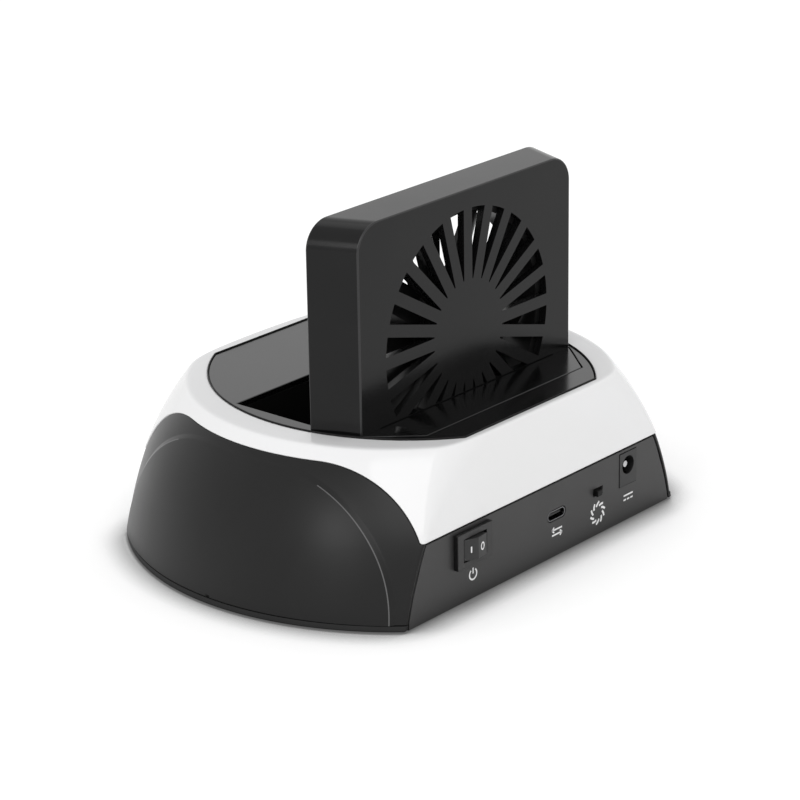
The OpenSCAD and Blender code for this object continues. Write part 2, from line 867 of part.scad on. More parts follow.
module usb_c_shell() {
    color("#c9c9cc") difference() {
        extrude_y(rear_y - usb_len, rear_y - 0.2) translate([usb_x, usb_z]) stadium(usb_w, usb_h);
        extrude_y(rear_y - usb_len + usb_back, rear_y + 1) translate([usb_x, usb_z])
            stadium(usb_w - 2 * usb_wall, usb_h - 2 * usb_wall);
    }
}

module usb_c_tongue() {
    color("#1b1b1b") extrude_y(rear_y - usb_len + usb_back, rear_y - 2 * usb_back) translate([usb_x, usb_z])
        square([tongue_w, tongue_t], center = true);
}

module dc_jack_body() {
    color("#161616") difference() {
        translate([jack_x - jack_w / 2, jack_face - jack_len, board_z]) cube([jack_w, jack_len, jack_h]);
        translate([jack_x, jack_face + 1, jack_z]) rotate([90, 0, 0])
            cylinder(r = jack_r, h = jack_depth + 1);
        translate([jack_x, jack_face, jack_z]) rotate([90, 0, 0])
            cylinder(r = jack_pin_r + shaft_fit, h = jack_depth + jack_tail, $fn = 32);
        // Trough for the contact spring under the hole
        translate([jack_x - spring_w / 2 - spring_clear, jack_face - jack_depth, spring_z - spring_clear])
            cube([spring_w + 2 * spring_clear, jack_depth - pin_setback, jack_r]);
    }
}

module dc_jack_pin() {
    color("#d0d0d2") translate([jack_x, jack_face - pin_setback, jack_z]) rotate([90, 0, 0])
        cylinder(r = jack_pin_r, h = jack_depth - pin_setback + jack_tail, $fn = 32);
}

module dc_jack_contact() {
    color("#c8a85a") translate([jack_x - spring_w / 2, jack_face - jack_depth, spring_z])
        cube([spring_w, jack_depth - 2 * pin_setback, spring_t]);
}

module switch_housing() {
    cavity_w = rocker_w + 2 * rocker_gap;
    cavity_h = rocker_h + 2 * part_gap;
    color("#1a1a1a") translate([rocker_x, 0, rocker_z]) difference() {
        union() {
            extrude_y(rear_y, rear_y + bezel_t) square([bezel_w, bezel_h], center = true);
            extrude_y(rear_y - switch_len, rear_y + 0.1) square([switch_w, switch_h], center = true);
        }
        extrude_y(rear_y - switch_len + 2, rear_y + bezel_t + 1) square([cavity_w, cavity_h], center = true);
        translate([0, pivot_y, -switch_h / 2]) cylinder(r = pivot_r + pivot_clear, h = switch_h, $fn = 32);
    }
}

module switch_terminals() {
    color("#c9b27a") for (s = [-1, 1]) {
        translate([rocker_x + s * terminal_pitch / 2, rear_y - switch_len - terminal_len / 2, rocker_z])
            cube([terminal_t, terminal_len, terminal_h], center = true);
    }
}

module power_rocker() {
    half = rocker_w / 2;
    color("#232323") translate([rocker_x, pivot_y, rocker_z]) rotate([0, 0, -rocker_tilt]) union() {
        translate([0, 0, -rocker_h / 2]) linear_extrude(rocker_h) polygon([
            [-half, shoulder], [0, crown], [half, shoulder], [half - 1, -haunch],
            [keel_half, -keel], [-keel_half, -keel], [1 - half, -haunch]
        ]);
        translate([0, 0, pivot_clear - switch_h / 2])
            cylinder(r = pivot_r, h = switch_h - 2 * pivot_clear, $fn = 32);
    }
}

module slide_switch_body() {
    color("#b9b9bb") difference() {
        translate([slide_x - slide_w / 2, slide_front - slide_len, board_z])
            cube([slide_w, slide_len, slide_h]);
        translate([slide_x, 0, slide_z]) {
            extrude_y(slide_front - slide_lid - foot_t - 2 * nub_gap, slide_front - slide_lid)
                square([foot_len + slide_travel + 2 * nub_gap, foot_h + 2 * nub_gap], center = true);
            extrude_y(slide_front - 2 * slide_lid, slide_front + 1)
                square([nub_w + slide_travel + 2 * nub_gap, nub_h + 2 * nub_gap], center = true);
        }
    }
}

// The nub stands at the left end of its travel, seen from behind
module fan_switch_slider() {
    color("#111111") translate([slide_x + slide_travel / 2, 0, slide_z]) union() {
        extrude_y(slide_front - slide_lid - foot_t, rear_y + nub_out) square([nub_w, nub_h], center = true);
        extrude_y(slide_front - slide_lid - nub_gap - foot_t, slide_front - slide_lid - nub_gap)
            square([foot_len, foot_h], center = true);
    }
}

module indicator_lamp() {
    color("#f4f4f0") translate([lamp_x - lamp_w / 2, board_y0, board_z]) cube([lamp_w, lamp_len, lamp_h]);
}

module light_pipe() {
    color("#dfe8f0") translate([lamp_x, front_y, lamp_z]) rotate([-90, 0, 0])
        cylinder(r = lamp_r, h = board_y0 - front_y - screw_clear, $fn = 32);
}

module board_screws() {
    color("#a5a5a8") board_corners() {
        translate([0, 0, board_z]) cylinder(r = screw_head_r, h = flat_h, $fn = 32);
        translate([0, 0, floor_z + 0.4]) cylinder(r = screw_r, h = board_z - floor_z, $fn = 32);
    }
}

module shell_screws() {
    color("#a5a5a8") corners(post_x, post_y) {
        translate([0, 0, tray_lift]) cylinder(r = screw_head_r, h = tray_top - tray_lift, $fn = 32);
        translate([0, 0, tray_lift]) cylinder(r = screw_r, h = floor_z + screw_bite - tray_lift, $fn = 32);
    }
}

bottom_tray();
rubber_feet();
left_end_cap();
right_end_cap();
top_shell();
rear_panel();
front_panel();
deck();
drive_well();
fan_plate();
tower_housing();
tower_front_cover();
fan_frame();
fan_bearing();
fan_stator();
fan_coils();
fan_circuit();
fan_rotor();
fan_magnet();
fan_shaft();
fan_screws();
main_board();
board_parts();
sata_connector();
sata_contacts();
usb_c_shell();
usb_c_tongue();
dc_jack_body();
dc_jack_pin();
dc_jack_contact();
switch_housing();
switch_terminals();
power_rocker();
slide_switch_body();
fan_switch_slider();
indicator_lamp();
light_pipe();
board_screws();
shell_screws();
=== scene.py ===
import math

import bmesh
import bpy
import numpy as np
from mathutils import Matrix, Vector


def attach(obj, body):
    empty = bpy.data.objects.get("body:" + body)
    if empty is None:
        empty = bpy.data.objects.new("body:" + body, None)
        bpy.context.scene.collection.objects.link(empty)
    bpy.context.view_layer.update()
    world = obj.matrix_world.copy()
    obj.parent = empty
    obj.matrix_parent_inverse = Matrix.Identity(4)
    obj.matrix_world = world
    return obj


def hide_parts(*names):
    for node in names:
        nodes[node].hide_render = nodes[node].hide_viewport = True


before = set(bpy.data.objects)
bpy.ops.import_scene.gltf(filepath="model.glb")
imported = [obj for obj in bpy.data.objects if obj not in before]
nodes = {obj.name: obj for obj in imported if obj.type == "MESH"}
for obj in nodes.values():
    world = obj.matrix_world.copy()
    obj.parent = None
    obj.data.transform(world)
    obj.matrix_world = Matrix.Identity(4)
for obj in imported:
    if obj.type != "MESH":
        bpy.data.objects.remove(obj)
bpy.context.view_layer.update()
mm = 0.001
print("frame loaded:", len(nodes), "nodes")


# Camera

cameraView = {
    "azimuth": 130.58,
    "elevation": 20.26,
    "roll": -0.95,
    "distance": 0.91055,
    "target": (0.03379, 0.0303, 0.05797),
    "lens": 133.21,
    "sensor": 36.0,
}


def placeCamera(view):
    # Back points from the target to the camera; right and up are turned about it by the roll
    a = math.radians(view["azimuth"])
    e = math.radians(view["elevation"])
    r = math.radians(view["roll"])
    back = Vector((math.sin(a) * math.cos(e), -math.cos(a) * math.cos(e), math.sin(e)))
    right = Vector((math.cos(a), math.sin(a), 0))
    up = back.cross(right)
    turnedRight = right * math.cos(r) + up * math.sin(r)
    turnedUp = up * math.cos(r) - right * math.sin(r)
    data = bpy.data.cameras.new("photoCamera")
    data.lens = view["lens"]
    data.sensor_width = view["sensor"]
    camera = bpy.data.objects.new("photoCamera", data)
    place = Matrix((turnedRight, turnedUp, back)).transposed().to_4x4()
    place.translation = Vector(view["target"]) + back * view["distance"]
    camera.matrix_world = place
    bpy.context.scene.collection.objects.link(camera)
    bpy.context.scene.camera = camera


placeCamera(cameraView)
print("camera placed")


# Shader groups shared by several finishes

def newGroup(name, inputs, outputs):
    group = bpy.data.node_groups.new(name, "ShaderNodeTree")
    for label, kind, value in inputs:
        socket = group.interface.new_socket(label, in_out="INPUT", socket_type=kind)
        socket.default_value = value
    for label, kind in outputs:
        group.interface.new_socket(label, in_out="OUTPUT", socket_type=kind)
    return group, group.nodes.new("NodeGroupInput"), group.nodes.new("NodeGroupOutput")


mouldLook = {"fineDetail": 2.0, "coarseScale": 0.35, "coarseDetail": 1.0, "coarseShare": 0.33}
patchLook = {"detail": 4.0, "roughness": 0.6, "distortion": 0.4, "range": (0.35, 0.7)}


def makeMouldGrain():
    # Height of a spark-eroded mould: a fine noise, mixed with a share of a coarser one
    group, start, end = newGroup(
        "mouldGrain",
        [("Vector", "NodeSocketVector", (0, 0, 0)), ("Scale", "NodeSocketFloat", 4000.0)],
        [("Height", "NodeSocketFloat")],
    )
    link = group.links.new
    fine = group.nodes.new("ShaderNodeTexNoise")
    fine.inputs["Detail"].default_value = mouldLook["fineDetail"]
    link(start.outputs["Vector"], fine.inputs["Vector"])
    link(start.outputs["Scale"], fine.inputs["Scale"])
    wider = group.nodes.new("ShaderNodeMath")
    wider.operation = "MULTIPLY"
    wider.inputs[1].default_value = mouldLook["coarseScale"]
    link(start.outputs["Scale"], wider.inputs[0])
    coarse = group.nodes.new("ShaderNodeTexNoise")
    coarse.inputs["Detail"].default_value = mouldLook["coarseDetail"]
    link(start.outputs["Vector"], coarse.inputs["Vector"])
    link(wider.outputs[0], coarse.inputs["Scale"])
    blend = group.nodes.new("ShaderNodeMix")
    blend.data_type = "FLOAT"
    blend.inputs["Factor"].default_value = mouldLook["coarseShare"]
    link(fine.outputs["Fac"], blend.inputs["A"])
    link(coarse.outputs["Fac"], blend.inputs["B"])
    link(blend.outputs["Result"], end.inputs["Height"])
    return group


def makeHandling():
    # Mask of faint handling marks: soft patches of noise, sharpened by a smooth step
    group, start, end = newGroup(
        "handling",
        [("Vector", "NodeSocketVector", (0, 0, 0)), ("Scale", "NodeSocketFloat", 40.0)],
        [("Mask", "NodeSocketFloat")],
    )
    link = group.links.new
    patches = group.nodes.new("ShaderNodeTexNoise")
    patches.inputs["Detail"].default_value = patchLook["detail"]
    patches.inputs["Roughness"].default_value = patchLook["roughness"]
    patches.inputs["Distortion"].default_value = patchLook["distortion"]
    link(start.outputs["Vector"], patches.inputs["Vector"])
    link(start.outputs["Scale"], patches.inputs["Scale"])
    ramp = group.nodes.new("ShaderNodeMapRange")
    ramp.interpolation_type = "SMOOTHSTEP"
    ramp.inputs["From Min"].default_value = patchLook["range"][0]
    ramp.inputs["From Max"].default_value = patchLook["range"][1]
    link(patches.outputs["Fac"], ramp.inputs["Value"])
    link(ramp.outputs["Result"], end.inputs["Mask"])
    return group


mouldGrain = makeMouldGrain()
handling = makeHandling()


# Finishes

# Colours are linear; worn is the colour in the handling marks and patch the scale of the marks;
# grain is the bump's scale per metre and its depth in metres; face is another colour, painted
# shade on the outermost face only, which sets in between the two places given with it, in metres along the
# axis given with it
finishes = {
    # The level top of the white shell's rim is painted darker than the rest, as painted shade
    "whiteGloss": {"colour": (0.77, 0.77, 0.775), "worn": (0.755, 0.755, 0.755), "rough": (0.09, 0.13),
                   "grain": (900.0, 0.000003), "patch": 18.0,
                   "face": (0.68, 0.68, 0.685), "faceFrom": (0.0510, 0.05135), "faceAxis": "Z"},
    "capSatin": {"colour": (0.0030, 0.0029, 0.0029), "worn": (0.0042, 0.0041, 0.0041),
                 "rough": (0.28, 0.33), "grain": (3500.0, 0.00001), "patch": 25.0, "specular": 0.3},
    "deckGloss": {"colour": (0.0030, 0.0030, 0.0032), "worn": (0.0040, 0.0040, 0.0040),
                  "rough": (0.16, 0.20), "grain": (700.0, 0.000001), "patch": 30.0, "specular": 0.5},
    "towerSatin": {"colour": (0.0040, 0.0040, 0.0041), "worn": (0.0052, 0.0052, 0.0052),
                   "rough": (0.18, 0.23), "grain": (4200.0, 0.000008), "patch": 30.0, "specular": 0.24},
    # A light colour painted on a thin strip along the leaf's ridge on the end caps: a painted highlight
    "capRidgeHighlight": {"colour": (0.085, 0.085, 0.086), "worn": (0.11, 0.11, 0.11), "rough": (0.28, 0.33),
                "grain": (4200.0, 0.000008), "patch": 30.0, "specular": 0.3},
    # A lighter colour painted on the rounded edges of the tower: a painted highlight
    "towerEdgeHighlight": {"colour": (0.020, 0.020, 0.0205), "worn": (0.026, 0.026, 0.026), "rough": (0.22, 0.28),
                  "grain": (4200.0, 0.000008), "patch": 30.0, "specular": 0.4},
    "panelMatte": {"colour": (0.026, 0.0255, 0.0255), "worn": (0.029, 0.0285, 0.0285),
                   "rough": (0.42, 0.50), "grain": (4200.0, 0.000012), "patch": 30.0},
    "trayMatte": {"colour": (0.010, 0.010, 0.010), "worn": (0.014, 0.014, 0.014), "rough": (0.5, 0.6),
                  "grain": (3000.0, 0.000015), "patch": 30.0, "specular": 0.3},
    "wellMatte": {"colour": (0.003, 0.003, 0.003), "worn": (0.004, 0.004, 0.004), "rough": (0.5, 0.6),
                  "grain": (3000.0, 0.000012), "patch": 30.0, "specular": 0.25},
    "fanPlastic": {"colour": (0.006, 0.006, 0.006), "worn": (0.009, 0.009, 0.009), "rough": (0.32, 0.4),
                   "grain": (2500.0, 0.000008), "patch": 40.0, "specular": 0.3},
    "partBlack": {"colour": (0.009, 0.009, 0.009), "worn": (0.013, 0.013, 0.013), "rough": (0.38, 0.46),
                  "grain": (3500.0, 0.000008), "patch": 60.0},
    "rockerSatin": {"colour": (0.018, 0.018, 0.018), "worn": (0.022, 0.022, 0.022), "rough": (0.32, 0.4),
                    "grain": (3500.0, 0.000008), "patch": 60.0, "specular": 0.4},
    # The flange's sides are painted near black and its front face lighter, as painted shade on the sides
    "flangeSatin": {"colour": (0.0022, 0.0022, 0.0022), "worn": (0.003, 0.003, 0.003), "rough": (0.4, 0.48),
                    "grain": (3500.0, 0.000008), "patch": 60.0, "specular": 0.35,
                    "face": (0.0290, 0.0285, 0.0285), "faceFrom": (0.06222, 0.06228), "faceAxis": "Y"},
    "nubBlack": {"colour": (0.0025, 0.0025, 0.0025), "worn": (0.0035, 0.0035, 0.0035), "rough": (0.4, 0.48),
                 "grain": (3500.0, 0.000008), "patch": 60.0, "specular": 0.2},
    "footRubber": {"colour": (0.012, 0.012, 0.012), "worn": (0.02, 0.02, 0.02), "rough": (0.75, 0.85),
                   "grain": (2500.0, 0.00003), "patch": 60.0},
    "boardGreen": {"colour": (0.010, 0.075, 0.030), "worn": (0.013, 0.09, 0.036), "rough": (0.3, 0.4),
                   "grain": (1800.0, 0.00001), "patch": 80.0},
    "platedSteel": {"colour": (0.62, 0.62, 0.63), "worn": (0.55, 0.55, 0.56), "rough": (0.2, 0.32),
                    "grain": (3000.0, 0.000004), "patch": 120.0, "metal": 1.0},
    "darkSteel": {"colour": (0.20, 0.20, 0.205), "worn": (0.17, 0.17, 0.175), "rough": (0.2, 0.3),
                  "grain": (3000.0, 0.000004), "patch": 120.0, "metal": 1.0},
    "goldPlate": {"colour": (0.83, 0.62, 0.26), "worn": (0.76, 0.56, 0.24), "rough": (0.2, 0.3),
                  "grain": (3000.0, 0.000003), "patch": 120.0, "metal": 1.0},
    "copperWire": {"colour": (0.60, 0.24, 0.10), "worn": (0.5, 0.18, 0.07), "rough": (0.25, 0.35),
                   "grain": (4500.0, 0.00005), "patch": 120.0, "metal": 1.0},
    "castFerrite": {"colour": (0.05, 0.05, 0.052), "worn": (0.07, 0.07, 0.072), "rough": (0.55, 0.65),
                    "grain": (4000.0, 0.00002), "patch": 80.0},
    "lampClear": {"colour": (0.72, 0.76, 0.8), "worn": (0.68, 0.72, 0.76), "rough": (0.12, 0.18),
                  "grain": (1500.0, 0.000002), "patch": 80.0},
    "markWhite": {"colour": (0.78, 0.78, 0.78), "worn": (0.70, 0.70, 0.70), "rough": (0.5, 0.6),
                  "grain": (5000.0, 0.000004), "patch": 200.0},
}


def makeFinish(name, spec):
    material = bpy.data.materials.new(name)
    material.use_nodes = True
    tree = material.node_tree
    link = tree.links.new
    shader = tree.nodes["Principled BSDF"]
    shader.inputs["Metallic"].default_value = spec.get("metal", 0.0)
    shader.inputs["Specular IOR Level"].default_value = spec.get("specular", 0.5)
    place = tree.nodes.new("ShaderNodeTexCoord")
    marks = tree.nodes.new("ShaderNodeGroup")
    marks.node_tree = handling
    marks.inputs["Scale"].default_value = spec["patch"]
    link(place.outputs["Object"], marks.inputs["Vector"])
    tint = tree.nodes.new("ShaderNodeMix")
    tint.data_type = "RGBA"
    tint.inputs["A"].default_value = (*spec["colour"], 1)
    tint.inputs["B"].default_value = (*spec["worn"], 1)
    link(marks.outputs["Mask"], tint.inputs["Factor"])
    link(tint.outputs["Result"], shader.inputs["Base Color"])
    if "face" in spec:
        # Painted shade: another colour on the outermost face only, chosen by its place along one axis; on
        # the white shell it darkens the level top of the rim, and on the flange the near-black sides stand
        # for shade beside a lighter front face
        depth = tree.nodes.new("ShaderNodeSeparateXYZ")
        link(place.outputs["Object"], depth.inputs["Vector"])
        outside = tree.nodes.new("ShaderNodeMapRange")
        outside.inputs["From Min"].default_value = spec["faceFrom"][0]
        outside.inputs["From Max"].default_value = spec["faceFrom"][1]
        link(depth.outputs[spec["faceAxis"]], outside.inputs["Value"])
        top = tree.nodes.new("ShaderNodeMix")
        top.data_type = "RGBA"
        top.inputs["B"].default_value = (*spec["face"], 1)
        link(outside.outputs["Result"], top.inputs["Factor"])
        link(tint.outputs["Result"], top.inputs["A"])
        link(top.outputs["Result"], shader.inputs["Base Color"])
    gloss = tree.nodes.new("ShaderNodeMapRange")
    gloss.inputs["To Min"].default_value = spec["rough"][0]
    gloss.inputs["To Max"].default_value = spec["rough"][1]
    link(marks.outputs["Mask"], gloss.inputs["Value"])
    link(gloss.outputs["Result"], shader.inputs["Roughness"])
    grain = tree.nodes.new("ShaderNodeGroup")
    grain.node_tree = mouldGrain
    grain.inputs["Scale"].default_value = spec["grain"][0]
    link(place.outputs["Object"], grain.inputs["Vector"])
    bump = tree.nodes.new("ShaderNodeBump")
    bump.inputs["Distance"].default_value = spec["grain"][1]
    link(grain.outputs["Height"], bump.inputs["Height"])
    link(bump.outputs["Normal"], shader.inputs["Normal"])
    return material


finish = {name: makeFinish(name, spec) for name, spec in finishes.items()}
print("finishes made:", len(finish))


# Mesh helpers

def addPiece(name, mesh, material, body="base", stands=()):
    mesh.materials.clear()
    mesh.materials.append(material)
    piece = bpy.data.objects.new(name, mesh)
    bpy.context.scene.collection.objects.link(piece)
    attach(piece, body)
    if stands:
        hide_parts(*stands)
    return piece


def gridMesh(name, points, wrapU=False, wrapV=False, flip=False):
    # One quad between neighbouring samples; a wrapped direction joins its last row to its first
    countU, countV = points.shape[:2]
    index = np.arange(countU * countV).reshape(countU, countV)
    if wrapU:
        index = np.vstack([index, index[:1]])
    if wrapV:
        index = np.hstack([index, index[:, :1]])
    quads = np.stack([index[:-1, :-1], index[1:, :-1], index[1:, 1:], index[:-1, 1:]], axis=-1)
    quads = quads.reshape(-1, 4)
    if flip:
        quads = quads[:, ::-1]
    mesh = bpy.data.meshes.new(name)
    mesh.from_pydata((points.reshape(-1, 3) * mm).tolist(), [], quads.tolist())
    mesh.update()
    mesh.shade_smooth()
    return mesh


edging = {"merge": 2e-6, "flatAngle": 0.4, "sharpAngle": 24.0, "segments": 3, "areaWeight": 100}


def edgedCopy(name, spec):
    # A merged copy of a node with its flat faces joined; the sharp edges that the test
    # picks are rounded to the given width, and the others stay sharp
    node = spec["node"]
    picks = spec.get("picks")
    mesh = nodes[node].data.copy()
    mesh.name = name
    work = bmesh.new()
    work.from_mesh(mesh)
    bmesh.ops.remove_doubles(work, verts=work.verts, dist=edging["merge"])
    flatLimit = math.radians(edging["flatAngle"])
    bmesh.ops.dissolve_limit(work, angle_limit=flatLimit, verts=work.verts, edges=work.edges)
    weight = work.edges.layers.float.new("bevel_weight_edge")
    for edge in work.edges:
        if not edge.is_manifold or edge.calc_face_angle() < math.radians(edging["sharpAngle"]):
            continue
        middle = (edge.verts[0].co + edge.verts[1].co) / 2 / mm
        chosen = picks is None or picks(middle)
        edge[weight] = 1.0 if chosen else 0.0
        edge.smooth = chosen
    for face in work.faces:
        face.smooth = True
    work.to_mesh(mesh)
    work.free()
    piece = addPiece(name, mesh, finish[spec["look"]], spec.get("body", "base"), (node,))
    bevel = piece.modifiers.new("edgeRound", "BEVEL")
    bevel.width = spec["width"] * mm
    bevel.segments = edging["segments"]
    bevel.limit_method = "WEIGHT"
    bevel.use_clamp_overlap = picks is None
    # Where a second finish is given, the rounded edge faces take it: a painted highlight along the edges
    if "edgeHighlightLook" in spec:
        mesh.materials.append(finish[spec["edgeHighlightLook"]])
        bevel.material = 1
    flat = piece.modifiers.new("flatFaces", "WEIGHTED_NORMAL")
    flat.mode = "FACE_AREA"
    flat.weight = edging["areaWeight"]
    flat.keep_sharp = True


def smoothMin(a, b, k):
    # The smaller of two distances, rounded off over a blend of width k
    h = np.maximum(k - np.abs(a - b), 0.0) / k
    return np.minimum(a, b) - h * h * k / 4.0


# White top shell

dome = {"radius": 89.5, "drop": 5.602, "middleY": 1.8}
skirt = {"radius": 91.2, "drop": 11.702, "blend": 90.0}
walls = {"rearY": 60.9, "leanFrom": 26.0, "lean": 2.6 / 23.4, "frontY": -62.5, "deckZ": 51.4}
seam = {"middleY": -1.0, "height": 47.5, "half": 27.0, "radius": 37.8, "wallFoot": 26.3}
deckLip = {"gap": 0.16, "width": 0.36, "round": 0.1, "foot": 50.6, "top": 51.85}
deckEdge = {"radius": 67.6, "offset": 7.534, "rear": 55.75, "front": -57.75}
edgeSteps = np.array([0.0, 0.08, 0.2, 0.38, 0.6, 0.85, 1.1])
leastSlope = 1e-4
leastSine = 1e-6
farAway = 1e4
shell = {
    "around": 900,
    "up": 72,
    "thick": 2.4,
    "thickAtRim": 4.6,
    "cornerBlend": (0.35, 0.235),
    "rimBlend": 1.3,
    "edge": 0.35,
    "rimDepth": 2.0,
    "footRise": (0.1, 1.1),
    "rimRise": (0.4, 1.3),
    "meanReach": 85.0,
    "innerRows": 24,
    "innerPower": 6,
}


def rolledEdge(distance, radius):
    # How far a surface has sunk at a distance from its border: a quarter circle of the radius
    return radius - np.sqrt(np.maximum(radius ** 2 - np.maximum(radius - distance, 0.0) ** 2, 0.0))


def seamHeight(y):
    # Level in the middle, then a quarter arc falling to the top of the front and rear panels
    past = np.clip(np.abs(y - seam["middleY"]) - seam["half"], 0.0, seam["radius"])
    arc = seam["height"] - seam["radius"] + np.sqrt(seam["radius"] ** 2 - past ** 2)
    return np.maximum(arc, seam["wallFoot"])


def shellReach(turn, rise):
    # Distance along a ray from the middle of the base: the smooth minimum of the distances
    # to the dome, the leaning rear wall, the upright front wall and the level top
    goY = np.cos(rise) * np.sin(turn)
    goZ = np.sin(rise)
    toDome = -dome["drop"] * goZ + np.sqrt(dome["radius"] ** 2 - (dome["drop"] * np.cos(rise)) ** 2)
    rearSide = goY + walls["lean"] * goZ
    rearPlane = walls["rearY"] + walls["lean"] * walls["leanFrom"] - dome["middleY"]
    toRear = np.where(rearSide > leastSlope, rearPlane / np.maximum(rearSide, leastSlope), farAway)
    frontPlane = dome["middleY"] - walls["frontY"]
    toFront = np.where(goY < -leastSlope, frontPlane / np.maximum(-goY, leastSlope), farAway)
    toTop = walls["deckZ"] / np.maximum(goZ, leastSlope)
    height = np.minimum(np.minimum(toDome, toRear), np.minimum(toFront, toTop)) * goZ
    # The corners are nearly sharp at the foot of the walls and softer towards the top
    low, growth = shell["cornerBlend"]
    blend = low + growth * np.maximum(height - walls["leanFrom"], 0.0)
    side = smoothMin(smoothMin(toDome, toRear, blend), toFront, blend)
    return smoothMin(side, toTop, shell["rimBlend"])


def shellPoint(turn, rise, inset):
    reach = shellReach(turn, rise) - inset
    return np.stack([
        reach * np.cos(rise) * np.cos(turn),
        dome["middleY"] + reach * np.cos(rise) * np.sin(turn),
        reach * np.sin(rise),
    ], axis=-1)


def deckReach(turn):
    # Distance from the middle to the groove round the deck: two arcs and two straight edges
    c, s = np.cos(turn), np.sin(turn)
    arcs = np.sqrt(deckEdge["radius"] ** 2 - (deckEdge["offset"] * s) ** 2) - deckEdge["offset"] * np.abs(c)
    edge = np.where(s > 0, deckEdge["rear"] - dome["middleY"], dome["middleY"] - deckEdge["front"])
    return np.minimum(arcs, edge / np.maximum(np.abs(s), leastSlope))


def halve(test, low, high, steps=40):
    # Repeated halving finds where a rising test changes sign, for the whole array at once
    for _ in range(steps):
        middle = (low + high) / 2
        above = test(middle) > 0
        high = np.where(above, middle, high)
        low = np.where(above, low, middle)
    return (low + high) / 2


def makeWhiteShell():
    turn = np.linspace(0, 2 * np.pi, shell["around"], endpoint=False)

    def aboveSeam(rise):
        spot = shellPoint(turn, rise, 0.0)
        return spot[:, 2] - seamHeight(spot[:, 1])

    def insideRim(rise):
        return deckReach(turn) - shellReach(turn, rise) * np.cos(rise)

    foot = halve(aboveSeam, *(np.full_like(turn, rise) for rise in shell["footRise"]))
    rim = halve(insideRim, *(np.full_like(turn, rise) for rise in shell["rimRise"]))
    edge = shell["edge"]
    near = edge * edgeSteps
    sunk = rolledEdge(near, edge)
    middle = np.linspace(0, 1, shell["up"] + 2)[1:-1]
    lowRise = foot[:, None] + near[None, :] / shell["meanReach"]
    highRise = rim[:, None] - near[None, ::-1] / shell["meanReach"]
    midRise = lowRise[:, -1:] + (highRise[:, :1] - lowRise[:, -1:]) * middle[None, :]
    rise = np.hstack([lowRise, midRise, highRise])
    inset = np.concatenate([sunk, np.zeros(len(middle)), sunk[::-1]])
    outer = shellPoint(turn[:, None], rise, inset[None, :])
    rimFoot = outer[:, -1:, :].copy()
    rimFoot[:, 0, 2] -= shell["rimDepth"] - edge
    # The inside is the same form set back, by more where it carries the rim
    innerShare = np.linspace(1, 0, shell["innerRows"])
    innerRise = foot[:, None] + (rim - foot)[:, None] * innerShare[None, :]
    thicker = (shell["thickAtRim"] - shell["thick"]) * innerShare ** shell["innerPower"]
    innerInset = shell["thick"] + thicker
    inner = shellPoint(turn[:, None], innerRise, innerInset[None, :])
    points = np.concatenate([outer, rimFoot, inner], axis=1)
    mesh = gridMesh("whiteShell", points, wrapU=True, wrapV=True)
    addPiece("whiteShell", mesh, finish["whiteGloss"], stands=("top_shell",))


def makeDeckLip():
    # A dark bead in the groove round the deck: one section, carried along the line of the groove
    turn = np.linspace(0, 2 * np.pi, shell["around"], endpoint=False)
    outside = deckLip["gap"] + np.array([0.0, 0.0, deckLip["round"]])
    inside = deckLip["gap"] + deckLip["width"] - np.array([deckLip["round"], 0.0, 0.0])
    inset = np.concatenate([outside, inside])
    climb = np.array([deckLip["foot"], deckLip["top"] - deckLip["round"], deckLip["top"]])
    height = np.concatenate([climb, climb[::-1]])
    reach = deckReach(turn)[:, None] - inset[None, :]
    points = np.stack([
        reach * np.cos(turn)[:, None],
        dome["middleY"] + reach * np.sin(turn)[:, None],
        np.broadcast_to(height, reach.shape),
    ], axis=-1)
    mesh = gridMesh("deckLip", points, wrapU=True, wrapV=True)
    addPiece("deckLip", mesh, finish["wellMatte"])


makeWhiteShell()
makeDeckLip()
print("white shell and deck lip made")


# End caps

cap = {
    "around": 420,
    "centre": (-1.0, 2.8),
    "seamGap": 0.3,
    "halfDepth": 61.5,
    "panelTop": 26.0,
    "inset": 0.3,
    "thick": 2.3,
    "lip": 0.9,
    "lipDepth": 2.7,
    "lipRamp": 0.3,
    "edge": 0.35,
    "leafRadius": 45.0,
    "leafHalf": 13.5,
    "leafMargin": 1.6,
    "leafStep": (0.1, 0.6),
    "stepPower": 1.2,
    "leafEdge": 0.55,
    "leafRound": 0.12,
    "highlightHalf": 0.13,
    "highlightFrom": 0.62,
    "firstRow": 0.0005,
    "leafRows": 40,
    "rampReach": 1.25,
    "rampRows": 43,
    "outsideRows": 12,
}


def capReach(turn):
    # Distance from the cap's centre to its border, seen from the side: the furthest of the level
    # seam, the two falling arcs and the straight-sided foot
    c, s = np.cos(turn), np.maximum(np.sin(turn), leastSine)
    top = seam["height"] - cap["seamGap"] - cap["centre"][1]
    level = np.minimum(top / s, seam["half"] / np.maximum(np.abs(c), leastSine))
    radius = seam["radius"] - cap["seamGap"]
    drop = seam["height"] - seam["radius"] - cap["centre"][1]
    along = seam["half"] * np.abs(c) + drop * s
    apart = seam["half"] ** 2 + drop ** 2
    arc = along + np.sqrt(np.maximum(along ** 2 - apart + radius ** 2, 0.0))
    foot = (cap["panelTop"] - cap["centre"][1]) / s
    wide = np.maximum(np.maximum(level, arc), foot)
    return np.minimum(wide, cap["halfDepth"] / np.maximum(np.abs(c), leastSine))


def leafReach(turn):
    # Distance to the edge of the raised middle panel: a flat top between two round ends
    c, s = np.cos(turn), np.maximum(np.sin(turn), leastSine)
    rise = cap["centre"][1]
    top = (cap["leafRadius"] - rise) / s
    along = cap["leafHalf"] * np.abs(c) - rise * s
    apart = cap["leafHalf"] ** 2 + rise ** 2
    rounded = along + np.sqrt(along ** 2 - apart + cap["leafRadius"] ** 2)
    return np.where(top * np.abs(c) <= cap["leafHalf"], top, rounded)


